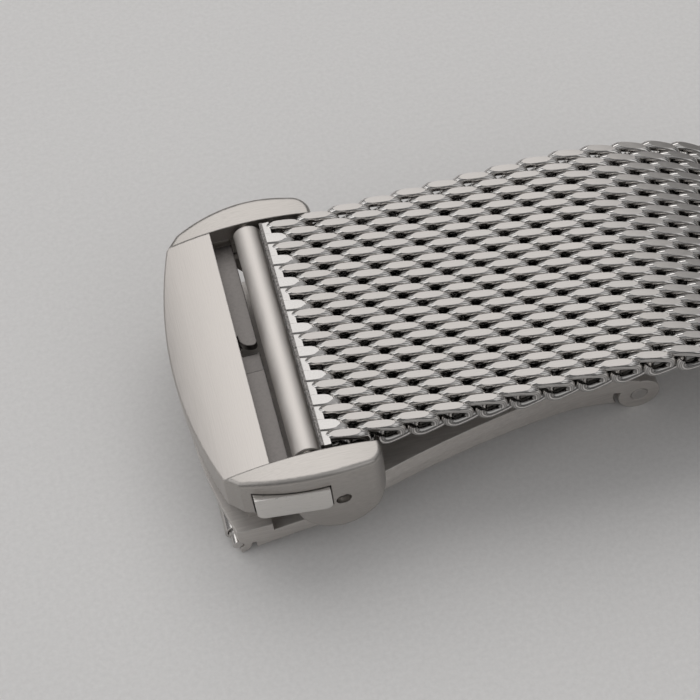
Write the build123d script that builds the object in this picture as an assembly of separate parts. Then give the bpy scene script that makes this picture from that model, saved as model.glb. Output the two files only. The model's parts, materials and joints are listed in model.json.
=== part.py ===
from build123d import *
import math
import os

os.makedirs("parts", exist_ok=True)

# A milanese mesh strand on a folding clasp, in millimetres. The clasp frame has its
# origin above the strand's spring bar, just under the top of the cover: X runs along
# the strand, Y across it, Z up through the cover. The last step tips the whole
# assembly so that the base blade and the lug end stand on Z = 0.

# Fits
running_gap = 0.05
free_gap = 0.30
slide_gap = 0.08

# Mesh
row_pitch = 1.10
turn_pitch = 1.93
upper_bars = 10
wire_thickness = 0.56
wire_sides = 6
coil_reach = 1.04
coil_rise = 0.76
bend_cut = 0.45
end_tuck = 0.35
bar_lean = 0.40
rows_per_section = 6
section_count = 12
flat_rows = 17
falling_rows = 15
rising_rows = 16
mesh_drop = 0.50

# Tubes and spring bars
strip_gap = 0.05
strip_width = 0.22
strip_height = 1.90
strip_neck = 0.60
end_row_cut = 0.35
end_tube_radius = 0.90
bar_drop = 0.40
lug_tube_radius = 1.20
lug_tube_overhang = 0.50
barrel_diameter = 1.30
barrel_wall = 0.17
tip_nose_diameter = 0.70
tip_nose_length = 0.75
tip_shoulder_length = 1.20
bar_shoulder_showing = 0.25
spring_wire = 0.20
spring_turns = 16

# Cover
rail_width = 1.93
cover_front = 7.00
front_setback = 1.50
front_narrowing = 1.10
rear_narrowing = 0.25
waist_place = 1.20
cover_rear = 4.60
rear_corner = 1.30
nose_corner = 0.90
rim_rounding = 0.35
crown_height = 0.45
crown_place = 2.00
front_drop = 0.65
rear_drop = 0.10
side_depth = 3.10
lobe_radius = 3.00
plate_dip = 0.06
plate_underside = 1.10
front_wall = 0.80
window_front = 2.40
pocket_gap = 0.30
pin_recess = 0.25

# Push buttons
button_front = 3.90
button_rear = 0.85
button_top = 0.85
button_bottom = 3.00
button_front_stand = 0.85
button_rear_stand = 0.30
button_overlap = 0.50
button_corner = 0.55
latch_front = 4.45
latch_rear = 1.15
latch_top = 1.30
latch_bottom = 2.90
latch_gap = 0.30
latch_offset = 0.65
latch_step_depth = 0.60
latch_step_length = 1.80
tongue_front = 2.30
tongue_setback = 1.00
undercut_length = 1.10
tongue_front_corner = 0.80
tongue_rear_corner = 0.30
hook_inset = 2.35
hook_width = 0.80
hook_length = 1.20
hook_depth = 2.20
tooth_height = 0.40
tooth_reach = 0.25
latch_bore = 1.00
latch_bore_depth = 3.00
latch_bore_place = 3.40
latch_bore_level = 2.15

# Blades
cover_pin_diameter = 0.90
cover_pin_place = 1.60
cover_pin_level = 2.80
cover_knuckle_radius = 0.95
fold_place = 23.20
fold_pin_diameter = 1.10
fold_knuckle_radius = 1.45
blade_radius = 46.35
blade_apex = 4.65
blade_level = 5.93
middle_thickness = 1.30
base_thickness = 1.20
blade_spacing = 0.30
blade_narrow_width = 5.00
blade_bend_width = 5.75
narrowing_bend = 17.00
narrowing_end = 22.00
base_inset = 0.30
root_lift = 0.35
centre_knuckle = 2.60
base_front = 6.90
base_front_setback = 1.45
base_overhang = 0.80
base_wide_end = 1.50
base_shoulder_end = 4.20
lip_top = 6.00
lip_thickness = 0.50
lip_rear = 3.10
slot_depth = 2.60
ear_width = 0.80
ear_radius = 0.90
blade_bar_place = 5.60
blade_bar_level = 7.60
post_height = 2.20
post_width = 0.80
post_length = 1.20
notch_height = 0.60
notch_depth = 0.30
rivet_radius = 0.35
rivet_length = 1.00

# Places that follow from the sizes above
half_turn = turn_pitch / 2
wire_radius = wire_thickness / 2 / math.cos(math.pi / wire_sides)
mesh_half_width = (upper_bars - 1) * half_turn + bar_lean / 2 + wire_thickness / 2
rail_gap = mesh_half_width + pocket_gap
waist_half_width = rail_gap + rail_width
front_half_width = waist_half_width - front_narrowing
rear_half_width = waist_half_width - rear_narrowing
blade_half_width = rail_gap - free_gap
base_front_half_width = blade_half_width + base_overhang
end_tube_half_length = rail_gap - free_gap
lug_tube_half_length = mesh_half_width + lug_tube_overhang
button_root = rail_gap + button_overlap
hook_place = rail_gap - hook_inset
strip_face = strip_gap + strip_width
first_row = end_tube_radius + strip_face + end_row_cut + row_pitch
row_count = rows_per_section * section_count
blade_centre = -blade_level - blade_radius
fold_level = blade_centre + math.sqrt(blade_radius**2 - (fold_place - blade_apex) ** 2)
latch_inner = latch_gap / 2
step_front = -latch_bore_place + latch_bore / 2 + spring_wire
step_top = -latch_top - latch_step_depth
hook_front = -latch_front


def box(x_low, x_high, y_low, y_high, z_low, z_high):
    """A block between six planes."""
    size = (x_high - x_low, y_high - y_low, z_high - z_low)
    middle = ((x_high + x_low) / 2, (y_high + y_low) / 2, (z_high + z_low) / 2)
    return Pos(*middle) * Box(*size)


def rod(x, z, radius, y_low, y_high):
    """A round bar across the strand, from one Y to another."""
    middle = (y_low + y_high) / 2
    return Pos(x, middle, z) * Rot(90, 0, 0) * Cylinder(radius, y_high - y_low)


def mirrored(edges):
    """The same edges on the other side of the middle plane."""
    return [mirror(edge, about=Plane.XZ).edge() for edge in edges]


def side_prism(edges, y_low, y_high):
    """A closed outline in the XZ plane, carried across from one Y to another."""
    face = make_face(Wire(edges))
    return Pos(0, y_low, 0) * extrude(face, amount=y_high - y_low, dir=(0, 1, 0))


def plan_prism(edges, z_low, z_high):
    """A closed outline in the XY plane, carried up from one Z to another."""
    face = make_face(Wire(edges))
    return Pos(0, 0, z_low) * extrude(face, amount=z_high - z_low, dir=(0, 0, 1))


def cut_corners(points, cut):
    """A path through the points, with each corner cut across by one short run."""
    corners = [Vector(*point) for point in points]
    path = [corners[0]]
    for before, corner, after in zip(corners, corners[1:], corners[2:]):
        path.append(corner + (before - corner).normalized() * cut)
        path.append(corner + (after - corner).normalized() * cut)
    return path + [corners[-1]]


def wire_rings(path, radius):
    """The corners of a six-sided wire at each point of its path, mitred at the bends."""
    along = (path[1] - path[0]).normalized()
    across = along.cross(Vector(0, 1, 0)).normalized()
    over = across.cross(along)
    ring = []
    for number in range(wire_sides):
        angle = math.pi * (2 * number + 1) / wire_sides
        corner = across * (radius * math.cos(angle)) + over * (radius * math.sin(angle))
        ring.append(path[0] + corner)
    rings = [ring]
    for here, there, beyond in zip(path, path[1:], path[2:]):
        run = (there - here).normalized()
        mitre = run + (beyond - there).normalized()
        ring = [point + run * ((there - point).dot(mitre) / run.dot(mitre)) for point in ring]
        rings.append(ring)
    run = (path[-1] - path[-2]).normalized()
    rings.append([point + run * (path[-1] - point).dot(run) for point in ring])
    return rings


def faceted_wire(path, radius):
    """A wire with flat sides along a path of straight runs."""
    rings = wire_rings(path, radius)
    faces = [Face(Wire.make_polygon(rings[0])), Face(Wire.make_polygon(rings[-1]))]
    for ring, following in zip(rings, rings[1:]):
        for number in range(wire_sides):
            after = (number + 1) % wire_sides
            corners = [ring[number], ring[after], following[after], following[number]]
            faces.append(Face(Wire.make_polygon(corners)))
    return Solid(Shell(faces))


def mesh_coil():
    """One flattened coil of wire: bars above and below, joined by bends, with tucked ends."""
    y = (upper_bars - 1) * half_turn + bar_lean / 2
    points = [(end_tuck - coil_reach, y, 0)]
    for number in range(upper_bars):
        points.append((-coil_reach, y, coil_rise))
        points.append((coil_reach, y - bar_lean, coil_rise))
        if number < upper_bars - 1:
            points.append((coil_reach, y - half_turn, -coil_rise))
            points.append((-coil_reach, y - half_turn - bar_lean, -coil_rise))
        y -= turn_pitch
    points.append((coil_reach - end_tuck, -points[0][1], 0))
    return faceted_wire(cut_corners(points, bend_cut), wire_radius)


def table_tilt():
    """The angle between the mesh at the clasp and the table under the base blade."""
    run = fold_place + blade_bar_place
    fall = -fold_level - blade_bar_level
    centre_line = math.atan2(fall, run)
    return centre_line + math.asin((fold_knuckle_radius - ear_radius) / math.hypot(run, fall))


def strand_bends(bend):
    """The turn between each row and the next, downward positive, in radians."""
    return_bend = (falling_rows * bend - tilt) / rising_rows
    bends = [0.0] * (flat_rows - 1)
    bends += [bend] * falling_rows
    bends += [-return_bend] * rising_rows
    bends += [0.0] * (row_count - 1 - len(bends))
    return bends


def strand_rows(bend):
    """The place and slope of every row, and the hinge line after each one."""
    x = first_row
    z = -mesh_drop
    slope = 0.0
    rows = [(x, z, slope)]
    joints = []
    for turn in strand_bends(bend):
        hinge_x = x + row_pitch / 2 * math.cos(slope)
        hinge_z = z - row_pitch / 2 * math.sin(slope)
        joints.append((hinge_x, hinge_z))
        slope += turn
        x = hinge_x + row_pitch / 2 * math.cos(slope)
        z = hinge_z - row_pitch / 2 * math.sin(slope)
        rows.append((x, z, slope))
    return rows, joints


def height_above_table(x, z):
    """Height of a point of the clasp frame over the table under the base blade."""
    front = (x + blade_bar_place) * math.sin(tilt) + (z + blade_bar_level) * math.cos(tilt)
    return front + ear_radius


def drape_bend():
    """The bend per row that brings the level end of the strand down to the table."""
    low = 0.0
    high = math.pi / (falling_rows * 2)
    for _ in range(row_count):
        bend = (low + high) / 2
        x, z, _slope = strand_rows(bend)[0][-1]
        if height_above_table(x, z) > lug_tube_radius:
            low = bend
        else:
            high = bend
    return low


tilt = table_tilt()
tip = Rot(0, -math.degrees(tilt), 0)
row_bend = drape_bend()
rows, row_joints = strand_rows(row_bend)
lug_slope = rows[-1][2]
lug_reach = row_pitch + end_row_cut + strip_face + lug_tube_radius
lug_x = rows[-1][0] + lug_reach * math.cos(lug_slope)
lug_z = rows[-1][1] - lug_reach * math.sin(lug_slope)


def spring_coil(radius, length, turns):
    """A helical spring along Y, centred on the origin."""
    helix = Helix(pitch=length / turns, height=length, radius=radius)
    section = Plane(origin=helix @ 0, z_dir=helix % 0) * Circle(spring_wire / 2)
    spring = sweep(section, path=helix, is_frenet=True)
    return Rot(90, 0, 0) * (Pos(0, 0, -length / 2) * spring)


def cover_outline():
    """The cover seen from above: a bowed front edge, bowed flanks, round corners."""
    front_corner = -cover_front + front_setback
    nose_y = front_half_width - nose_corner
    rear_y = rear_half_width - rear_corner
    rear_side = cover_rear - rear_corner
    round_in = rear_corner * math.sqrt(0.5)
    nose = (front_corner, -nose_y)
    flank_front = (front_corner + nose_corner, -front_half_width)
    flank_rear = (rear_side, -rear_half_width)
    near = [
        Line(nose, flank_front),
        ThreePointArc(flank_front, (waist_place, -waist_half_width), flank_rear),
        ThreePointArc(flank_rear, (rear_side + round_in, -rear_y - round_in), (cover_rear, -rear_y)),
    ]
    front = ThreePointArc((front_corner, nose_y), (-cover_front, 0), nose)
    return near + mirrored(near) + [front, Line((cover_rear, -rear_y), (cover_rear, rear_y))]


def cover_side():
    """The cover seen from the side: a domed top, and a lobe round the hinge pin."""
    front_top = (-cover_front, 0, -front_drop)
    rear_top = (cover_rear, 0, -rear_drop)
    front_foot = (-cover_front, 0, -side_depth)
    lobe_front = (cover_pin_place - lobe_radius, 0, -cover_pin_level)
    lobe_foot = (cover_pin_place, 0, -cover_pin_level - lobe_radius)
    lobe_rear = (cover_pin_place + lobe_radius, 0, -cover_pin_level)
    throat = (lobe_front[0], 0, -side_depth)
    return [
        ThreePointArc(front_top, (-crown_place, 0, crown_height), rear_top),
        Line(rear_top, lobe_rear),
        ThreePointArc(lobe_rear, lobe_foot, lobe_front),
        Line(lobe_front, throat),
        Line(throat, front_foot),
        Line(front_foot, front_top),
    ]


def plate_cut():
    """The space over the front plate, which lies a little lower than the rails."""
    space = box(-cover_front, -window_front, -rail_gap, rail_gap, -side_depth, 2 * crown_height)
    return space - Pos(0, 0, -plate_dip) * side_prism(cover_side(), -rail_gap, rail_gap)


def cavity():
    """The room between the side walls, closed in front by a bowed wall."""
    inner_front = -cover_front + front_wall
    corner = inner_front + front_setback
    rear = cover_rear + front_wall
    edges = [
        ThreePointArc((corner, rail_gap), (inner_front, 0), (corner, -rail_gap)),
        Line((corner, -rail_gap), (rear, -rail_gap)),
        Line((rear, -rail_gap), (rear, rail_gap)),
        Line((rear, rail_gap), (corner, rail_gap)),
    ]
    low = -cover_pin_level - 2 * lobe_radius
    return plan_prism(edges, low, -plate_underside)


def cover_frame():
    """Front plate, two rails and two hinge lobes in one piece."""
    low = -cover_pin_level - 2 * lobe_radius
    high = 2 * crown_height
    body = side_prism(cover_side(), -waist_half_width, waist_half_width)
    body &= plan_prism(cover_outline(), low, high)
    body = fillet(rim_edges(body), rim_rounding)
    body -= plate_cut()
    body -= cavity()
    body -= box(-window_front, cover_rear + front_wall, -rail_gap, rail_gap, low, high)
    for side in (-1, 1):
        body -= button_opening(side)
        body -= bar_hole(0, -bar_drop, side, rail_gap)
    hole_radius = cover_pin_diameter / 2 + running_gap
    body -= rod(cover_pin_place, -cover_pin_level, hole_radius, -waist_half_width, waist_half_width)
    return body


def rim_edges(body):
    """The edges round the domed top of the cover, but for the straight one behind."""
    top = body.faces().sort_by(Axis.Z)[-1]
    return [edge for edge in top.edges() if edge.center().X < cover_rear - rim_rounding]


def bar_hole(x, z, side, wall):
    """A blind hole for a spring-bar tip, from the inner face of a wall outward."""
    depth = tip_nose_length + running_gap
    ends = sorted((side * (wall - running_gap), side * (wall + depth)))
    return rod(x, z, tip_nose_diameter / 2 + running_gap, *ends)


def button_opening(side):
    """The slot through a rail that one push button slides in."""
    ends = sorted((side * (rail_gap - running_gap), side * 2 * waist_half_width))
    return box(-button_front - slide_gap, button_rear + slide_gap, *ends,
               -button_bottom - slide_gap, -button_top + slide_gap)


def button_block():
    """The part of a push button in its slot, on the far side, with round lower corners."""
    corners = [(-button_front, button_root), (button_rear, button_root),
               (button_rear, waist_half_width + button_rear_stand),
               (-button_front, front_half_width + button_front_stand)]
    edges = [Line(a, b) for a, b in zip(corners, corners[1:] + corners[:1])]
    block = plan_prism(edges, -button_bottom, -button_top)
    low_edges = block.edges().filter_by(Axis.Y).group_by(Axis.Z)[0]
    return fillet(low_edges, button_corner)


def latch_plate(side):
    """A button's latch plate with its bore: the far one ends in a tongue over the near one's step."""
    inner = latch_inner + side * latch_offset
    plate_end = rail_gap - free_gap
    plate = box(-latch_front, -latch_rear, inner, plate_end, -latch_bottom, -latch_top)
    if side > 0:
        plate -= tongue_cut(inner)
        inner += tongue_setback
    else:
        plate -= box(step_front, -latch_rear, inner, inner + latch_step_length, step_top, -latch_top)
    return plate - rod(-latch_bore_place, -latch_bore_level, latch_bore / 2,
                       inner - running_gap, inner + latch_bore_depth)


def tongue_cut(inner):
    """What is cut from the far latch plate to leave its tongue, round at both corners."""
    front = -tongue_front
    setback = inner + tongue_setback
    cut = box(-latch_front, front, inner, setback, -latch_bottom, -latch_top)
    cut += box(front, -latch_rear, inner, inner + undercut_length, -latch_bottom, step_top + slide_gap)
    for x, radius, side in ((front, tongue_front_corner, 1), (-latch_rear, tongue_rear_corner, -1)):
        ends = sorted((x, x + side * radius))
        square = box(*ends, inner, inner + radius, -latch_bottom, -latch_top)
        centre = Pos(x + side * radius, inner + radius, -(latch_bottom + latch_top) / 2)
        cut += square - centre * Cylinder(radius, latch_bottom - latch_top)
    return cut


def push_button(side):
    """Push button, latch plate and hook in one piece; the near one has a stepped end."""
    plate_end = rail_gap - free_gap
    plate = latch_plate(side)
    plate += box(-button_front, -latch_rear, plate_end - free_gap, button_root,
                 -latch_bottom, -latch_top)
    hook_top = -latch_bottom + running_gap
    hook_foot = -latch_bottom - hook_depth
    hook_outer = hook_place + hook_width
    hook = box(hook_front, hook_front + hook_length, hook_place, hook_outer, hook_foot, hook_top)
    tooth = box(hook_front, hook_front + hook_length, hook_place, hook_outer + tooth_reach,
                hook_foot, hook_foot + tooth_height)
    button = button_block() + plate + hook + tooth
    return button if side > 0 else mirror(button, about=Plane.XZ)


def latch_spring():
    """The spring between the two latch plates, which pushes both buttons out."""
    length = latch_gap + tongue_setback + 2 * latch_bore_depth - 2 * spring_wire
    radius = latch_bore / 2 - spring_wire / 2 - running_gap
    spring = spring_coil(radius, length, spring_turns)
    return Pos(-latch_bore_place, latch_offset + tongue_setback / 2, -latch_bore_level) * spring


def bar_barrel(x, z, half_length):
    """The tube of a spring bar."""
    outer = rod(x, z, barrel_diameter / 2, -half_length, half_length)
    bore = rod(x, z, barrel_diameter / 2 - barrel_wall, -half_length, half_length)
    return outer - bore


def bar_tip(x, z, wall, side):
    """A spring-bar tip: a shoulder that slides in the barrel, and a thinner nose."""
    shoulder_radius = barrel_diameter / 2 - barrel_wall - running_gap
    shoulder_end = wall - running_gap
    shoulder_root = shoulder_end - bar_shoulder_showing - tip_shoulder_length
    shoulder = rod(x, z, shoulder_radius, *sorted((side * shoulder_root, side * shoulder_end)))
    nose_end = shoulder_end + tip_nose_length
    nose = rod(x, z, tip_nose_diameter / 2, *sorted((side * shoulder_end, side * nose_end)))
    return shoulder + nose


def bar_spring(x, z, wall):
    """The spring inside a spring bar, between its two tips."""
    reach = wall - running_gap - bar_shoulder_showing - tip_shoulder_length - spring_wire
    radius = barrel_diameter / 2 - barrel_wall - running_gap - spring_wire / 2
    return Pos(x, 0, z) * spring_coil(radius, 2 * reach, spring_turns)


def end_loops(coil):
    """The last row of mesh, cut through beside the strip that holds it."""
    cut = -end_row_cut
    beyond = 2 * row_pitch
    return coil - box(-beyond, cut, -beyond * upper_bars, beyond * upper_bars, -beyond, beyond)


def end_tube(radius, half_length, rise, coil):
    """A tube for a spring bar, and the strip and loops that tie it to the mesh on its +X side."""
    strip_end = radius + strip_face
    strip = box(radius + strip_gap, strip_end, -end_tube_half_length, end_tube_half_length,
                -strip_height / 2, strip_height / 2)
    neck = box(0, radius + strip_gap, -end_tube_half_length, end_tube_half_length,
               -strip_neck / 2, strip_neck / 2)
    tube = rod(0, rise, radius, -half_length, half_length) + strip + neck
    tube += Pos(strip_end + end_row_cut, 0, 0) * end_loops(coil)
    return tube - rod(0, rise, barrel_diameter / 2 + running_gap, -half_length, half_length)


def blade_outline(start, inset, rear):
    """The far half of a blade's outline, from its wide part to its narrow end."""
    narrow = blade_narrow_width - inset
    bend = (narrowing_bend, blade_bend_width - inset)
    taper = Line(start, bend)
    sweep_in = TangentArc(bend, (narrowing_end, narrow), tangent=taper % 1)
    return [taper, sweep_in, Line((narrowing_end, narrow), (rear, narrow))]


def blade_band(inner_radius, outer_radius, x_low, x_high, half_width):
    """A bent strip between two radii about the blades' common centre line."""
    def arc(radius, x_from, x_to):
        points = []
        for x in (x_from, (x_from + x_to) / 2, x_to):
            z = blade_centre + math.sqrt(radius**2 - (x - blade_apex) ** 2)
            points.append((x, 0, z))
        return ThreePointArc(*points)

    outer = arc(outer_radius, x_low, x_high)
    inner = arc(inner_radius, x_high, x_low)
    edges = [outer, Line(outer @ 1, inner @ 0), inner, Line(inner @ 1, outer @ 0)]
    return side_prism(edges, -half_width, half_width)


def fold_knuckles(spans):
    """Hinge barrels at the far end of the blades, over the given spans of Y."""
    barrels = [rod(fold_place, fold_level, fold_knuckle_radius, *span) for span in spans]
    return Part() + barrels


def outer_spans():
    """The two spans of Y that the middle blade's barrels fill."""
    inner = centre_knuckle + free_gap
    return [(-blade_narrow_width, -inner), (inner, blade_narrow_width)]


def fold_pin_bore():
    """The hole through the barrels at the fold."""
    radius = fold_pin_diameter / 2 + running_gap
    return rod(fold_place, fold_level, radius, -blade_half_width, blade_half_width)


def middle_root():
    """The web that drops from the cover pin to the middle blade."""
    top = -blade_level + blade_spacing / 2 + middle_thickness
    foot = -blade_level + blade_spacing / 2
    near_x = cover_pin_place
    front_x = cover_pin_place - cover_knuckle_radius
    rear_x = blade_apex
    points = [(near_x, -cover_pin_level + cover_knuckle_radius), (rear_x, top), (rear_x, foot),
              (cover_pin_place, foot + root_lift), (front_x, -cover_pin_level)]
    closed = [(x, 0, z) for x, z in points]
    edges = [Line(a, b) for a, b in zip(closed, closed[1:] + closed[:1])]
    web = side_prism(edges, -blade_half_width, blade_half_width)
    knuckle = (cover_pin_place, -cover_pin_level, cover_knuckle_radius)
    return web + rod(*knuckle, -blade_half_width, blade_half_width)


def middle_blade():
    """The upper blade, hinged to the cover's lobes and to the base blade."""
    inner = blade_radius + blade_spacing / 2
    band = blade_band(inner, inner + middle_thickness, blade_apex, fold_place, blade_half_width)
    start = (blade_apex, blade_half_width)
    far = blade_outline(start, 0, fold_place)
    edges = far + mirrored(far)
    edges += [Line((fold_place, blade_narrow_width), (fold_place, -blade_narrow_width)),
              Line((blade_apex, -blade_half_width), start)]
    blade = band & plan_prism(edges, blade_centre, 0)
    blade += middle_root()
    inner_span = centre_knuckle + free_gap
    blade -= rod(fold_place, fold_level, fold_knuckle_radius + free_gap, -inner_span, inner_span)
    blade += fold_knuckles(outer_spans())
    blade -= fold_pin_bore()
    pin_bore = cover_pin_diameter / 2 + running_gap
    return blade - rod(cover_pin_place, -cover_pin_level, pin_bore, -blade_half_width, blade_half_width)


def base_plan():
    """The base blade from above: a bowed front edge, wide flanks, then the taper."""
    narrow = blade_narrow_width - base_inset
    wide = blade_half_width - base_inset
    corner = -base_front + base_front_setback
    far = [Line((corner, base_front_half_width), (base_wide_end, base_front_half_width)),
           Line((base_wide_end, base_front_half_width), (base_shoulder_end, wide))]
    far += blade_outline((base_shoulder_end, wide), base_inset, fold_place)
    near = mirrored(far)
    front = ThreePointArc((corner, base_front_half_width), (-base_front, 0),
                          (corner, -base_front_half_width))
    return far + near + [front, Line((fold_place, narrow), (fold_place, -narrow))]


def base_front_end():
    """The wide front of the base blade: a lip on top, two ears, and a cross wall."""
    corner = -base_front
    side = base_front_half_width
    lip_foot = -lip_top - lip_thickness
    lip = box(corner, -lip_rear, -side, side, lip_foot, -lip_top)
    ears = box(-blade_bar_place - ear_radius, -lip_rear, -side, side, -blade_bar_level, lip_foot)
    ears += rod(-blade_bar_place, -blade_bar_level, ear_radius, -side, side)
    slot = box(2 * corner, corner + slot_depth, -side + ear_width, side - ear_width,
               -blade_bar_level - 2 * ear_radius, lip_foot)
    return lip + ears - slot


def base_blade():
    """The lower blade, which lies under the middle blade and carries the other strand."""
    outer = blade_radius - blade_spacing / 2
    start = -lip_rear - middle_thickness
    band = blade_band(outer - base_thickness, outer, start, fold_place, base_front_half_width)
    blade = band + base_front_end()
    blade &= plan_prism(base_plan(), 2 * blade_centre, 0)
    clearance = fold_knuckle_radius + free_gap
    for low, high in outer_spans():
        blade -= rod(fold_place, fold_level, clearance, low - free_gap, high + free_gap)
    blade += fold_knuckles([(-centre_knuckle, centre_knuckle)])
    blade -= fold_pin_bore()
    wall = base_front_half_width - ear_width
    for side in (-1, 1):
        blade -= bar_hole(-blade_bar_place, -blade_bar_level, side, wall)
        blade -= post_rivet(side)
    return blade


def post_rivet(side):
    """The shank that holds a catch post in the base blade."""
    x = hook_front + hook_length / 2
    y = side * (hook_place + hook_width + tooth_reach + running_gap + post_width / 2)
    return Pos(x, y, -lip_top) * Cylinder(rivet_radius, 2 * rivet_length)


def catch_post(side):
    """A post on the base blade, with a notch in its inner face for the hook's tooth."""
    inner = hook_place + hook_width + tooth_reach + running_gap
    seat = -lip_top
    front = hook_front + (hook_length - post_length) / 2
    post = box(front, front + post_length, inner, inner + post_width, seat, seat + post_height)
    tooth_middle = -latch_bottom - hook_depth + tooth_height / 2
    post -= box(front, front + post_length, inner, inner + notch_depth,
                tooth_middle - notch_height / 2, tooth_middle + notch_height / 2)
    if side < 0:
        post = mirror(post, about=Plane.XZ)
    x = hook_front + hook_length / 2
    y = side * (inner + post_width / 2)
    shank = Pos(x, y, seat - rivet_length / 2) * Cylinder(rivet_radius, rivet_length)
    return post + shank


def mesh_section(index, coil):
    """Six rows of coils; every second coil is the same coil turned half a turn."""
    first = index * rows_per_section
    coils = []
    for number in range(first, first + rows_per_section):
        x, z, slope = rows[number]
        turn = math.degrees(slope) + 180 * (number % 2)
        coils.append(Pos(x, 0, z) * Rot(0, turn, 0) * coil)
    return coils


def spring_bar_nodes(name, x, z, wall, barrel_half_length):
    """The nodes of one spring bar: barrel, spring and two tips."""
    return {
        f"{name}_barrel": [bar_barrel(x, z, barrel_half_length)],
        f"{name}_spring": [bar_spring(x, z, wall)],
        f"{name}_tip_near": [bar_tip(x, z, wall, -1)],
        f"{name}_tip_far": [bar_tip(x, z, wall, 1)],
    }


def clasp_nodes():
    """The cover, its buttons, the two blades and their pins."""
    pin_end = rear_half_width - pin_recess
    cover_pin = (cover_pin_place, -cover_pin_level, cover_pin_diameter / 2)
    fold_pin = (fold_place, fold_level, fold_pin_diameter / 2)
    return {
        "cover_frame": [cover_frame()],
        "push_button_near": [push_button(-1)],
        "push_button_far": [push_button(1)],
        "latch_spring": [latch_spring()],
        "cover_hinge_pin": [rod(*cover_pin, -pin_end, pin_end)],
        "fold_hinge_pin": [rod(*fold_pin, -blade_narrow_width, blade_narrow_width)],
        "middle_blade": [middle_blade()],
        "base_blade": [base_blade()],
        "catch_posts": [catch_post(-1), catch_post(1)],
    }


def strand_nodes():
    """The end tubes, the mesh sections and the spring bar at the lug end."""
    coil = mesh_coil()
    # Half a turn about Y gives the coils of every other row.
    turned_coil = Rot(0, 180, 0) * coil
    clasp_tube = end_tube(end_tube_radius, end_tube_half_length, mesh_drop - bar_drop, turned_coil)
    nodes = {"strand_end_tube": [Pos(0, 0, -mesh_drop) * clasp_tube]}
    for index in range(section_count):
        nodes[f"mesh_section_{index + 1:02d}"] = mesh_section(index, coil)
    lug_place = Pos(lug_x, 0, lug_z) * Rot(0, math.degrees(lug_slope), 0)
    lug_wall = lug_tube_half_length + bar_shoulder_showing + running_gap
    lug = spring_bar_nodes("lug_bar", 0, 0, lug_wall, lug_tube_half_length)
    lug_tube = end_tube(lug_tube_radius, lug_tube_half_length, 0, coil)
    lug["lug_end_tube"] = [Rot(0, 0, 180) * lug_tube]
    for name, solids in lug.items():
        nodes[name] = [lug_place * solid for solid in solids]
    return nodes


barrel_inset = bar_shoulder_showing + running_gap
blade_wall = base_front_half_width - ear_width
clasp_bar = (0, -bar_drop, rail_gap, rail_gap - barrel_inset)
blade_bar = (-blade_bar_place, -blade_bar_level, blade_wall, blade_wall - barrel_inset)

nodes = clasp_nodes() | strand_nodes()
nodes |= spring_bar_nodes("clasp_bar", *clasp_bar)
nodes |= spring_bar_nodes("blade_bar", *blade_bar)

# The origin of the finished assembly is on the table, under the middle of its length.
tipped = [tip * solid for solids in nodes.values() for solid in solids]
bounds = Compound(children=tipped).bounding_box()
stand = Pos(-(bounds.min.X + bounds.max.X) / 2, 0, -bounds.min.Z) * tip

for name, solids in nodes.items():
    placed = [stand * solid for solid in solids]
    export_step(Compound(children=placed), f"parts/{name}.step")
print("overall size", bounds.size)
print("tilt", round(math.degrees(tilt), 2), "bend per row", round(math.degrees(row_bend), 2))
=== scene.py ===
import json
import math

import bmesh
import bpy
from mathutils import Matrix, Vector


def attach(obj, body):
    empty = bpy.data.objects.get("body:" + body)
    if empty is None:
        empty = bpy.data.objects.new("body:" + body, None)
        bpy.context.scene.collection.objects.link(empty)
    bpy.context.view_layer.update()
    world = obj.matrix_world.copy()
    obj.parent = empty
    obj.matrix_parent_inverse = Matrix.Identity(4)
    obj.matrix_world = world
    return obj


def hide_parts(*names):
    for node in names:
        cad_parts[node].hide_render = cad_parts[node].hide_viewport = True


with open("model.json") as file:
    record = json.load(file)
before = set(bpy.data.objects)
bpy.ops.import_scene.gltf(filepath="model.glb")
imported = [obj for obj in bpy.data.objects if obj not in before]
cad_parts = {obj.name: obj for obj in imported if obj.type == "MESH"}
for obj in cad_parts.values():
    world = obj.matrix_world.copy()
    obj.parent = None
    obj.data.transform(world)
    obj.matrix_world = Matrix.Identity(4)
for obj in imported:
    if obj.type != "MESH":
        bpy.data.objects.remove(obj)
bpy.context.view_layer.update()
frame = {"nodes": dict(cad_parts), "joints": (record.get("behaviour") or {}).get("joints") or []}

MM = 0.001
nodes = frame["nodes"]
joints = {joint["name"]: joint for joint in frame["joints"]}


# Frames

def joint_place(name):
    return Vector(joints[name]["pos_m"])


# The first rows of the strand lie level with the clasp, so two of their hinges give its tilt
FLAT_RUN = joint_place("mesh_hinge_03") - joint_place("mesh_hinge_02")
TILT = math.atan2(FLAT_RUN.z, FLAT_RUN.x)
BAR_DROP = 0.40
CLASP = (Matrix.Translation(joint_place("strand_hinge")) @ Matrix.Rotation(-TILT, 4, "Y")
         @ Matrix.Translation((0, 0, BAR_DROP * MM)))
CLASP_MM = CLASP @ Matrix.Scale(MM, 4)


def clasp(x, y, z):
    """A point of the clasp's own frame, given in millimetres."""
    return CLASP @ Vector((x * MM, y * MM, z * MM))


# Camera, its place and directions in the clasp's frame

EYE = (-3.60, -75.02, 103.94)
LOOK = Vector((0.0632, 0.5715, -0.8181))
RIGHT = Vector((0.967, -0.237, -0.091))
LENS = 101.9
SENSOR_WIDTH = 36
CLIP_START = 0.005

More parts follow.
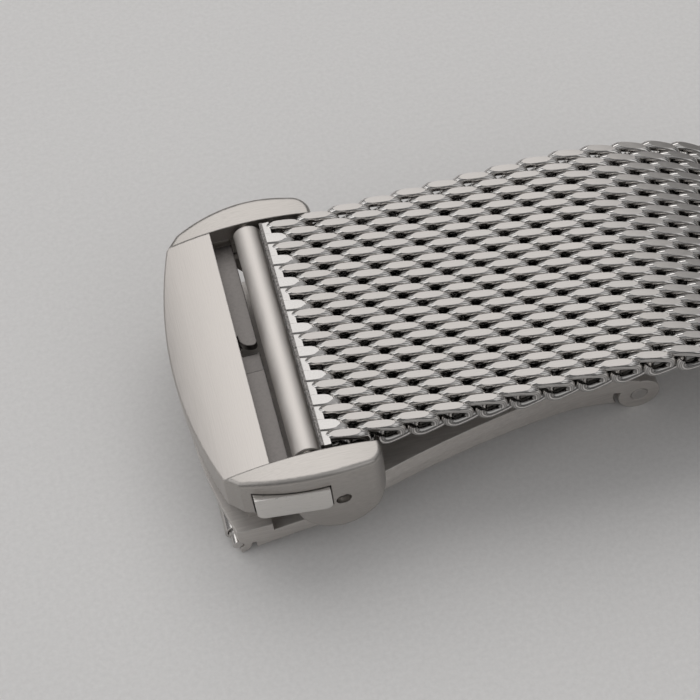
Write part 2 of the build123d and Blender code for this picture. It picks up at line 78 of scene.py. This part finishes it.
camera_data = bpy.data.cameras.new("camera")
camera_data.lens = LENS
camera_data.sensor_width = SENSOR_WIDTH
camera_data.clip_start = CLIP_START
camera = bpy.data.objects.new("camera", camera_data)
bpy.context.scene.collection.objects.link(camera)
bpy.context.scene.camera = camera
turn = CLASP.to_3x3()
forward = (turn @ LOOK).normalized()
right = turn @ RIGHT
right = (right - forward * right.dot(forward)).normalized()
up = right.cross(forward)
axes = Matrix((right, up, -forward)).transposed().to_4x4()
camera.matrix_world = Matrix.Translation(clasp(*EYE)) @ axes


# Material helpers

BEVEL_SAMPLES = 6
TWO_PART_GRAIN = 4000
WIRE_GRAIN = 5000
STRIPE_WANDER = 0.05

# Painted reflection stripes of the polished wire, with painted shade on its inner side: a place round it, 0 on
# its outer side and 1 on its inner side, and the grey there
WIRE_PAINTED_STRIPES = [(0.02, 0.85), (0.10, 0.38), (0.16, 0.92), (0.23, 0.28), (0.30, 0.78), (0.37, 0.25),
              (0.44, 0.62), (0.50, 0.20), (0.57, 0.85), (0.64, 0.16), (0.80, 0.40), (1.0, 0.15)]
WIRE_TONE = (1, 0.97, 0.94)


def new_material(name):
    material = bpy.data.materials.new(name)
    material.use_nodes = True
    tree = material.node_tree
    return material, tree, tree.nodes["Principled BSDF"]


def new_metal(name):
    material, tree, shader = new_material(name)
    shader.inputs["Metallic"].default_value = 1.0
    return material, tree, shader


def link(tree, source, target):
    tree.links.new(source, target)


def add_noise(tree, scale, stretch, detail=4.0, roughness=0.6):
    """Noise in the piece's own place, stretched along its axes; scale is per metre."""
    place = tree.nodes.new("ShaderNodeTexCoord")
    mapping = tree.nodes.new("ShaderNodeMapping")
    mapping.inputs["Scale"].default_value = stretch
    noise = tree.nodes.new("ShaderNodeTexNoise")
    noise.inputs["Scale"].default_value = scale
    noise.inputs["Detail"].default_value = detail
    noise.inputs["Roughness"].default_value = roughness
    link(tree, place.outputs["Object"], mapping.inputs["Vector"])
    link(tree, mapping.outputs["Vector"], noise.inputs["Vector"])
    return noise.outputs["Fac"]


def ramp(tree, value, low, high, start=0.3, end=0.7):
    """A number that goes from low to high as value goes from start to end."""
    node = tree.nodes.new("ShaderNodeMapRange")
    node.inputs["From Min"].default_value = start
    node.inputs["From Max"].default_value = end
    node.inputs["To Min"].default_value = low
    node.inputs["To Max"].default_value = high
    link(tree, value, node.inputs["Value"])
    return node.outputs["Result"]


def tint(tree, value, dark, light, start=0.3, end=0.7):
    """A colour that goes from dark to light as value goes from start to end."""
    node = tree.nodes.new("ShaderNodeValToRGB")
    node.color_ramp.elements[0].position = start
    node.color_ramp.elements[1].position = end
    node.color_ramp.elements[0].color = (*dark, 1)
    node.color_ramp.elements[1].color = (*light, 1)
    link(tree, value, node.inputs["Fac"])
    return node.outputs["Color"]


def shades(tree, value, stops, tone):
    """A colour that passes through the grey of each stop as value goes from 0 to 1, times the tone."""
    node = tree.nodes.new("ShaderNodeValToRGB")
    while len(node.color_ramp.elements) < len(stops):
        node.color_ramp.elements.new(1)
    for stop, (place, grey) in zip(node.color_ramp.elements, stops):
        stop.position = place
        stop.color = (*(grey * part for part in tone), 1)
    link(tree, value, node.inputs["Fac"])
    return node.outputs["Color"]


def soft_edges(tree, radius):
    """Normals as if each sharp edge were rounded to the radius, in metres."""
    bevel = tree.nodes.new("ShaderNodeBevel")
    bevel.samples = BEVEL_SAMPLES
    bevel.inputs["Radius"].default_value = radius
    return bevel.outputs["Normal"]


def add_bump(tree, shader, value, height, strength, normal=None):
    bump = tree.nodes.new("ShaderNodeBump")
    if normal:
        link(tree, normal, bump.inputs["Normal"])
    bump.inputs["Distance"].default_value = height
    bump.inputs["Strength"].default_value = strength
    link(tree, value, bump.inputs["Height"])
    link(tree, bump.outputs["Normal"], shader.inputs["Normal"])


def steel(name, dark, light, rough, scale, stretch, height=0.0, strength=0.0, edge=0.0):
    """Bare steel with a grain: noise stretched along the grain drives colour, roughness and bump.

    The grain goes from dark to light and from the first value of rough to the second. Its scale is per metre,
    and the bump's height and the radius of the softened edges are in metres.
    """
    material, tree, shader = new_metal(name)
    grain = add_noise(tree, scale, stretch)
    link(tree, tint(tree, grain, dark, light), shader.inputs["Base Color"])
    link(tree, ramp(tree, grain, *rough), shader.inputs["Roughness"])
    normal = soft_edges(tree, edge) if edge else None
    if strength:
        add_bump(tree, shader, grain, height, strength, normal)
    elif normal:
        link(tree, normal, shader.inputs["Normal"])
    return material


def past_wall(tree, node, distance):
    """1 where a point of the node is further from the clasp's middle plane than the distance."""
    sideways = (CLASP.to_3x3() @ Vector((0, 1, 0))).normalized()
    local = node.matrix_world.to_3x3().transposed() @ sideways
    offset = sideways.dot(clasp(0, distance, 0) - node.matrix_world.translation)
    where = tree.nodes.new("ShaderNodeTexCoord")
    along = tree.nodes.new("ShaderNodeVectorMath")
    along.operation = "DOT_PRODUCT"
    along.inputs[1].default_value = local
    link(tree, where.outputs["Object"], along.inputs[0])
    size = tree.nodes.new("ShaderNodeMath")
    size.operation = "ABSOLUTE"
    link(tree, along.outputs["Value"], size.inputs[0])
    past = tree.nodes.new("ShaderNodeMath")
    past.operation = "GREATER_THAN"
    past.inputs[1].default_value = offset
    link(tree, size.outputs["Value"], past.inputs[0])
    return past.outputs["Value"]


def two_part(name, node, inside, outside, distance):
    """One steel up to the distance from the middle plane, in millimetres, and another past it."""
    material, tree, shader = new_metal(name)
    past = past_wall(tree, node, distance)
    colours, roughs = [], []
    for finish in (inside, outside):
        grain = add_noise(tree, TWO_PART_GRAIN, finish["stretch"])
        colours.append(tint(tree, grain, finish["dark"], finish["light"]))
        roughs.append(ramp(tree, grain, *finish["rough"]))
    colour = tree.nodes.new("ShaderNodeMix")
    colour.data_type = "RGBA"
    link(tree, past, colour.inputs["Factor"])
    link(tree, colours[0], colour.inputs["A"])
    link(tree, colours[1], colour.inputs["B"])
    link(tree, colour.outputs["Result"], shader.inputs["Base Color"])
    rough = tree.nodes.new("ShaderNodeMix")
    link(tree, past, rough.inputs["Factor"])
    link(tree, roughs[0], rough.inputs["A"])
    link(tree, roughs[1], rough.inputs["B"])
    link(tree, rough.outputs["Result"], shader.inputs["Roughness"])
    link(tree, soft_edges(tree, EDGE_RADIUS), shader.inputs["Normal"])
    return material


def painted_stripe_wire(name, rough):
    """Polished wire with bright and dark reflection stripes painted along it, and painted shade on its inner
    side.
    """
    material, tree, shader = new_metal(name)
    around = tree.nodes.new("ShaderNodeAttribute")
    around.attribute_name = "around"
    grain = add_noise(tree, WIRE_GRAIN, (1, 1, 1))
    stripe_place = tree.nodes.new("ShaderNodeMath")
    stripe_place.operation = "MULTIPLY_ADD"
    stripe_place.inputs[1].default_value = STRIPE_WANDER
    link(tree, grain, stripe_place.inputs[0])
    link(tree, around.outputs["Fac"], stripe_place.inputs[2])
    link(tree, shades(tree, stripe_place.outputs["Value"], WIRE_PAINTED_STRIPES, WIRE_TONE), shader.inputs["Base Color"])
    link(tree, ramp(tree, grain, *rough), shader.inputs["Roughness"])
    return material


# Steels of the pieces

# The radius of the softened edges, in metres
EDGE_RADIUS = 0.00012

# The rails' distance from the middle plane, in millimetres, and how far before it a button's own finish begins
RAIL_GAP = 9.465
BUTTON_INSET = 0.10

BUTTON = {"dark": (0.70, 0.68, 0.65), "light": (0.76, 0.735, 0.705), "rough": (0.27, 0.33),
          "stretch": (0.25, 3.0, 3.0)}
# Latch plates inside the rails: blasted steel, painted much darker as painted shade in the recess under the
# window
BLASTED_SHADED = {"dark": (0.15, 0.14, 0.135), "light": (0.24, 0.225, 0.215), "rough": (0.40, 0.55),
           "stretch": (1, 1, 1)}
# Rail steel brushed along the rails, its grey painted darker than the plate's as painted shade on the rails'
# flanks and rear lobes
RAIL_SHADED = {"dark": (0.38, 0.36, 0.34), "light": (0.48, 0.455, 0.43), "rough": (0.28, 0.40),
        "stretch": (0.12, 4.0, 4.0)}
PLATE = {"dark": (0.46, 0.435, 0.41), "light": (0.56, 0.53, 0.505), "rough": (0.32, 0.46),
         "stretch": (4.0, 0.12, 4.0)}

# The latch's inner part carries the painted shade of the recess, its outer part the button's own steel
latch_steel = two_part("latch_steel", nodes["push_button_near"], BLASTED_SHADED, BUTTON, RAIL_GAP - BUTTON_INSET)
cover_steel = two_part("cover_steel", nodes["cover_frame"], PLATE, RAIL_SHADED, RAIL_GAP)
blade_brushed = steel("blade_brushed", dark=(0.58, 0.55, 0.525), light=(0.70, 0.67, 0.64), rough=(0.50, 0.62),
                      scale=2500, stretch=(0.12, 3.0, 3.0), height=0.00002, strength=0.3, edge=EDGE_RADIUS)
tube_satin = steel("tube_satin", dark=(0.68, 0.645, 0.615), light=(0.78, 0.745, 0.71), rough=(0.56, 0.66),
                   scale=3000, stretch=(0.5, 0.12, 0.5), edge=EDGE_RADIUS)
polished = steel("polished", dark=(0.58, 0.56, 0.54), light=(0.66, 0.64, 0.62), rough=(0.12, 0.22),
                 scale=1500, stretch=(1, 1, 1), edge=EDGE_RADIUS / 2)
# The mesh's polished wire, with its reflections and the shade on its inner side painted into its colour
mesh_painted_reflection = painted_stripe_wire("mesh_painted_reflection", rough=(0.10, 0.20))
mesh_ground = steel("mesh_ground", dark=(0.42, 0.40, 0.385), light=(0.49, 0.47, 0.45), rough=(0.34, 0.46),
                    scale=6000, stretch=(0.3, 2.0, 2.0), height=0.00001, strength=0.3)
# Ground cut faces of the first row's fans and of the fillet, painted lighter than the mesh's own facets as
# painted light on faces turned to the lamps
fan_ground_painted_light = steel("fan_ground_painted_light", dark=(0.50, 0.485, 0.47), light=(0.62, 0.605, 0.59), rough=(0.30, 0.50),
                   scale=9000, stretch=(1, 1, 1), height=0.00002, strength=0.4)
# Serrated cut end of the mesh and the neck by the tube, its darkest spots near black as painted shade in the
# gap beside the tube
strip_rough_shaded = steel("strip_rough_shaded", dark=(0.05, 0.047, 0.045), light=(0.42, 0.40, 0.385), rough=(0.35, 0.6),
                    scale=9000, stretch=(1, 0.7, 1), height=0.00006, strength=0.9)
wire_steel = steel("wire_steel", dark=(0.42, 0.41, 0.40), light=(0.52, 0.51, 0.50), rough=(0.25, 0.35),
                   scale=4000, stretch=(1, 1, 1))

NODE_MATERIALS = {
    "cover_frame": cover_steel,
    "push_button_near": latch_steel,
    "push_button_far": latch_steel,
    "middle_blade": blade_brushed,
    "base_blade": blade_brushed,
    "lug_end_tube": tube_satin,
}
for name, node in nodes.items():
    usual = wire_steel if name.endswith("spring") else polished
    node.data.materials.clear()
    node.data.materials.append(NODE_MATERIALS.get(name, usual))


# Mesh of flattened coils, in millimetres; a coil lies along Y with its middle at the origin

# Rows and turns of the mesh, and the rows that lie flat, fall and level out again
ROW_PITCH = 1.10
TURN_PITCH = 1.93
HALF_TURN = TURN_PITCH / 2
UPPER_BARS = 10
ROWS_PER_SECTION = 6
SECTION_COUNT = 12
ROW_COUNT = ROWS_PER_SECTION * SECTION_COUNT
FLAT_ROWS = 17
FALLING_ROWS = 15
RISING_ROWS = 16
FIRST_ROW = 2.62
MESH_DROP = 0.50

# A coil's half length and half height along its wire's middle, and how its bars and bends lean
COIL_REACH = 1.28
COIL_RISE = 0.74
COIL_SQUARENESS = 2.9
BAR_LEAN = 0.19
BEND_LEAN = HALF_TURN / 2 - BAR_LEAN * COIL_REACH
PASS_STEPS = 16
HOOK_DEGREES = 15
HOOK_STEPS = 5
EDGE_MARGIN = 0.16
EDGE_LINE = (UPPER_BARS - 1) * HALF_TURN + EDGE_MARGIN

# The wire's half widths along a bar and in a bend, its half depth, and the height that it is ground down to
WIRE_WIDE = 0.36
WIRE_NARROW = 0.30
WIRE_DEEP = 0.34
WIRE_SIDES = 12
GROUND_HEIGHT = 0.97

# Angles in radians where their names don't say degrees
UNCUT_ANGLE = 0.02
CREASE_DEGREES = 50
MOST_BEND = 0.2
FIT_STEPS = 40
NIL = 1e-9
POLISHED, GROUND = range(2)


def strand_rows(bend):
    """The place and slope of every row in the clasp's frame."""
    rise = (FALLING_ROWS * bend - TILT) / RISING_ROWS
    bends = [0.0] * (FLAT_ROWS - 1) + [bend] * FALLING_ROWS + [-rise] * RISING_ROWS
    bends += [0.0] * (ROW_COUNT - 1 - len(bends))
    x, z, slope = FIRST_ROW, -MESH_DROP, 0.0
    rows = [(x, z, slope)]
    for step in bends:
        x += ROW_PITCH / 2 * math.cos(slope)
        z -= ROW_PITCH / 2 * math.sin(slope)
        slope += step
        x += ROW_PITCH / 2 * math.cos(slope)
        z -= ROW_PITCH / 2 * math.sin(slope)
        rows.append((x, z, slope))
    return rows


def fitted_rows():
    """The rows whose bend brings the last hinge to its place in the frame."""
    target = (CLASP.inverted() @ joint_place("mesh_hinge_12")).z / MM
    last = ROWS_PER_SECTION * (SECTION_COUNT - 1)
    low, high = 0.0, MOST_BEND
    for _ in range(FIT_STEPS):
        bend = (low + high) / 2
        rows = strand_rows(bend)
        if (rows[last - 1][1] + rows[last][1]) / 2 > target:
            low = bend
        else:
            high = bend
    return rows


def coil_point(angle, middle):
    """A point of the coil's middle line: the bar above at 0 to 180 degrees, the bar below past it."""
    x = -math.cos(angle)
    z = math.sin(angle)
    power = 2 / COIL_SQUARENESS
    x = math.copysign(abs(x) ** power, x)
    z = math.copysign(abs(z) ** power, z)
    side = math.copysign(1, z) if abs(z) > NIL else 1
    fall = math.copysign(BEND_LEAN * (1 - abs(z)), x) if abs(x) > NIL else 0
    y = middle - side * (BAR_LEAN * COIL_REACH * x + fall)
    return Vector((COIL_REACH * x, y, COIL_RISE * z))


def coil_path():
    """The middle line of one coil, from a hook at one edge of the strand to a hook at the other."""
    middle = (UPPER_BARS - 1) * HALF_TURN
    path = []
    for number in range(2 * UPPER_BARS - 1):
        start = math.pi * (number % 2)
        for step in range(PASS_STEPS):
            path.append(coil_point(start + math.pi * step / PASS_STEPS, middle - number * HALF_TURN))
    path.append(coil_point(math.pi, -middle))
    for point in path:
        point.y = max(-EDGE_LINE, min(EDGE_LINE, point.y))
    first, last = path[0], path[-1]
    hook = []
    for step in range(1, HOOK_STEPS + 1):
        angle = math.radians(HOOK_DEGREES) * step / HOOK_STEPS
        hook.append((COIL_REACH * math.cos(angle), COIL_RISE * math.sin(angle)))
    before = [Vector((-x, first.y, -z)) for x, z in reversed(hook)]
    beyond = [Vector((x, last.y, -z)) for x, z in hook]
    return before + path + beyond


def ring_angles(centre, over):
    """Angles round the wire, and whether it is ground there, between the last angle and the second."""
    cover = abs(over.z) * WIRE_DEEP
    gap = (GROUND_HEIGHT - abs(centre.z)) / cover if cover > NIL else 1
    edge = math.acos(gap) if gap < 1 else UNCUT_ANGLE
    rest = WIRE_SIDES - 2
    sides = [edge + (2 * math.pi - 2 * edge) * step / rest for step in range(rest + 1)]
    return [0.0] + sides, gap < 1


def coil_mesh(widest):
    """Points, faces, each face's slot and each point's place round the wire, for one coil."""
    path = coil_path()
    points, faces, slots, cut, around = [], [], [], [], []
    for index, centre in enumerate(path):
        before = path[max(index - 1, 0)]
        after = path[min(index + 1, len(path) - 1)]
        along = (after - before).normalized()
        wide = WIRE_NARROW + (widest - WIRE_NARROW) * abs(along.x)
        outward = Vector((centre.x / COIL_REACH**2, 0, centre.z / COIL_RISE**2))
        over = (outward - along * outward.dot(along)).normalized()
        across = along.cross(over)
        angles, is_cut = ring_angles(centre, over)
        cut.append(is_cut)
        for angle in angles:
            point = centre + over * (WIRE_DEEP * math.cos(angle)) + across * (wide * math.sin(angle))
            point.z = max(-GROUND_HEIGHT, min(GROUND_HEIGHT, point.z))
            points.append(point)
            around.append(min(angle, 2 * math.pi - angle) / math.pi)
    for ring in range(len(path) - 1):
        here, beyond = ring * WIRE_SIDES, (ring + 1) * WIRE_SIDES
        for side in range(WIRE_SIDES):
            after = (side + 1) % WIRE_SIDES
            faces.append((here + side, here + after, beyond + after, beyond + side))
            on_top = side in (0, WIRE_SIDES - 1)
            slots.append(GROUND if cut[ring] and cut[ring + 1] and on_top else POLISHED)
    last_ring = (len(path) - 1) * WIRE_SIDES
    faces.append(tuple(range(WIRE_SIDES))[::-1])
    faces.append(tuple(last_ring + i for i in range(WIRE_SIDES)))
    slots += [POLISHED, POLISHED]
    return points, faces, slots, around


def append_shape(points, faces, shape, place):
    """Adds a shape's points, moved to their place, and its faces to the lists of a mesh."""
    first = len(points)
    points += [place @ point for point in shape[0]]
    faces += [tuple(first + i for i in face) for face in shape[1]]


def mesh_object(name, points, faces, materials, indices, around):
    """A mesh piece from points in metres; around is each point's place round the wire."""
    data = bpy.data.meshes.new(name)
    data.from_pydata(points, [], faces)
    for material in materials:
        data.materials.append(material)
    data.polygons.foreach_set("material_index", indices)
    data.polygons.foreach_set("use_smooth", [True] * len(faces))
    data.attributes.new("around", "FLOAT", "POINT").data.foreach_set("value", around)
    data.update()
    piece = bpy.data.objects.new(name, data)
    bpy.context.scene.collection.objects.link(piece)
    return piece


def sharpen(piece):
    """Edges between faces at more than the crease angle, or between two materials, stay crisp."""
    work = bmesh.new()
    work.from_mesh(piece.data)
    bmesh.ops.recalc_face_normals(work, faces=work.faces)
    limit = math.radians(CREASE_DEGREES)
    for edge in work.edges:
        if len(edge.link_faces) == 2:
            one, two = edge.link_faces
            differs = one.material_index != two.material_index
            edge.smooth = not (differs or edge.calc_face_angle(0) > limit)
    work.to_mesh(piece.data)
    work.free()


rows = fitted_rows()
coil_points, coil_faces, coil_slots, coil_around = coil_mesh(WIRE_WIDE)
for section in range(SECTION_COUNT):
    points, faces = [], []
    for number in range(section * ROWS_PER_SECTION, (section + 1) * ROWS_PER_SECTION):
        x, z, slope = rows[number]
        flip = math.pi * (number % 2)
        place = Matrix.Translation((x, 0, z)) @ Matrix.Rotation(slope + flip, 4, "Y")
        append_shape(points, faces, (coil_points, coil_faces), CLASP_MM @ place)
    name = f"mesh_{section + 1:02d}"
    piece = mesh_object(name, points, faces, [mesh_painted_reflection, mesh_ground], coil_slots * ROWS_PER_SECTION,
                        coil_around * ROWS_PER_SECTION)
    sharpen(piece)
    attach(piece, f"strand_{section + 1:02d}")
    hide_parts(f"mesh_section_{section + 1:02d}")


# End of the strand at the clasp, in millimetres from the middle plane of the mesh

TUBE_RADIUS = 0.90
TUBE_BORE = 0.70
TUBE_RISE = 0.10
TUBE_HALF = 9.165
TUBE_FACETS = 72
STRIP_SPAN = (0.95, 1.17)
STRIP_HEIGHT = 0.95
NECK_HEIGHT = 0.30
NECK_OVERLAP = 0.06
FAN_WIDE = 0.50
FILLET_SPAN = (1.17, 1.62)
FILLET_HEIGHT = 0.86
# Place round the wire given to every point of the end piece, which sets its grey on the painted reflection
# stripes
END_AROUND = 0.3
ON_TUBE, ON_STRIP, ON_CUT, ON_WIRE = range(4)


def hollow_tube():
    """Points and faces of the tube that the spring bar goes through."""
    points, faces = [], []
    for y in (-TUBE_HALF, TUBE_HALF):
        for reach in (TUBE_RADIUS, TUBE_BORE):
            for number in range(TUBE_FACETS):
                angle = 2 * math.pi * number / TUBE_FACETS
                points.append(Vector((reach * math.cos(angle), y, TUBE_RISE + reach * math.sin(angle))))
    for number in range(TUBE_FACETS):
        after = (number + 1) % TUBE_FACETS
        for one, two in ((0, 2), (2, 3), (3, 1), (1, 0)):
            faces.append((one * TUBE_FACETS + number, one * TUBE_FACETS + after,
                          two * TUBE_FACETS + after, two * TUBE_FACETS + number))
    return points, faces


def block(span, height):
    """Points and faces of a block as long as the tube, between two places along the strand."""
    points = [Vector((x, y, z)) for x in span for y in (-TUBE_HALF, TUBE_HALF) for z in (-height, height)]
    faces = [(0, 1, 3, 2), (4, 6, 7, 5), (0, 4, 5, 1), (2, 3, 7, 6), (0, 2, 6, 4), (1, 5, 7, 3)]
    return points, faces


def cut_fans():
    """The row of mesh before the first one, cut off at the strip, and the slot of each of its faces."""
    points, faces, slots, _around = coil_mesh(FAN_WIDE)
    place = Matrix.Translation((FIRST_ROW - ROW_PITCH, 0, 0)) @ Matrix.Rotation(math.pi, 4, "Y")
    work = bmesh.new()
    corners = [work.verts.new(place @ point) for point in points]
    for face, slot in zip(faces, slots):
        made = work.faces.new([corners[i] for i in face])
        made.material_index = ON_CUT if slot == GROUND else ON_WIRE
    everything = list(work.verts) + list(work.edges) + list(work.faces)
    bmesh.ops.bisect_plane(work, geom=everything, plane_co=(STRIP_SPAN[1], 0, 0),
                           plane_no=(-1, 0, 0), clear_outer=True)
    work.verts.index_update()
    points = [vertex.co.copy() for vertex in work.verts]
    faces = [tuple(vertex.index for vertex in face.verts) for face in work.faces]
    indices = [face.material_index for face in work.faces]
    work.free()
    return (points, faces), indices


neck_span = (TUBE_RADIUS - NECK_OVERLAP, STRIP_SPAN[0])
fans, fan_indices = cut_fans()
at_mesh = CLASP_MM @ Matrix.Translation((0, 0, -MESH_DROP))
points, faces, indices = [], [], []
for shape, slot in ((hollow_tube(), ON_TUBE), (block(neck_span, NECK_HEIGHT), ON_STRIP),
                    (block(STRIP_SPAN, STRIP_HEIGHT), ON_STRIP), (block(FILLET_SPAN, FILLET_HEIGHT), ON_CUT)):
    append_shape(points, faces, shape, at_mesh)
    indices += [slot] * len(shape[1])
append_shape(points, faces, fans, at_mesh)
indices += fan_indices
END_STEELS = [tube_satin, strip_rough_shaded, fan_ground_painted_light, mesh_painted_reflection]
end_piece = mesh_object("strand_end", points, faces, END_STEELS, indices, [END_AROUND] * len(points))
sharpen(end_piece)
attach(end_piece, "strand_01")
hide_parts("strand_end_tube")


# Floor, lights and world, in metres

FLOOR_REACH = 2
FLOOR_ROUGHNESS = 0.7
FLOOR_GRAIN = 3000
FLOOR_DARK = (0.70, 0.69, 0.68)
FLOOR_LIGHT = (0.76, 0.75, 0.74)

# Each light's place, size, power and colour; all face the clasp
LIGHT_TARGET = (-0.02, 0, 0)
LIGHTS = {
    "key": ((-0.05, 0.26, 0.42), (0.60, 0.45), 0.92, (1.0, 0.985, 0.97)),
    "side": ((-0.42, -0.02, 0.20), (0.35, 0.30), 0.22, (1, 1, 1)),
    "fill": ((0.25, -0.38, 0.30), (0.40, 0.30), 0.16, (1, 1, 1)),
}

# The sky's grey at each height, from level at 0 to overhead at 1
SKY_STOPS = [(0.0, 0.10), (0.10, 0.16), (0.22, 0.55), (0.34, 0.20), (0.60, 0.75), (1.0, 0.85)]
SKY_TONE = (1, 1, 1.01)
SKY_STRENGTH = 0.60


def make_floor():
    data = bpy.data.meshes.new("floor")
    corners = [(-FLOOR_REACH, -FLOOR_REACH, 0), (FLOOR_REACH, -FLOOR_REACH, 0),
               (FLOOR_REACH, FLOOR_REACH, 0), (-FLOOR_REACH, FLOOR_REACH, 0)]
    data.from_pydata(corners, [], [(0, 1, 2, 3)])
    floor = bpy.data.objects.new("floor", data)
    bpy.context.scene.collection.objects.link(floor)
    material, tree, shader = new_material("floor")
    shader.inputs["Roughness"].default_value = FLOOR_ROUGHNESS
    grain = add_noise(tree, FLOOR_GRAIN, (1, 1, 1))
    link(tree, tint(tree, grain, FLOOR_DARK, FLOOR_LIGHT), shader.inputs["Base Color"])
    data.materials.append(material)


def area_light(name, place, size, power, colour):
    data = bpy.data.lights.new(name, "AREA")
    data.shape = "RECTANGLE"
    data.size, data.size_y = size
    data.energy = power
    data.color = colour
    light = bpy.data.objects.new(name, data)
    bpy.context.scene.collection.objects.link(light)
    light.location = place
    light.rotation_mode = "QUATERNION"
    light.rotation_quaternion = (Vector(LIGHT_TARGET) - Vector(place)).to_track_quat("-Z", "Y")


def make_sky():
    world = bpy.data.worlds.new("world")
    world.use_nodes = True
    bpy.context.scene.world = world
    sky = world.node_tree
    direction = sky.nodes.new("ShaderNodeTexCoord")
    height = sky.nodes.new("ShaderNodeSeparateXYZ")
    link(sky, direction.outputs["Generated"], height.inputs["Vector"])
    background = sky.nodes["Background"]
    link(sky, shades(sky, height.outputs["Z"], SKY_STOPS, SKY_TONE), background.inputs["Color"])
    background.inputs["Strength"].default_value = SKY_STRENGTH


make_floor()
for name, (place, size, power, colour) in LIGHTS.items():
    area_light(name, place, size, power, colour)
make_sky()
bpy.context.scene.view_settings.view_transform = "Standard"
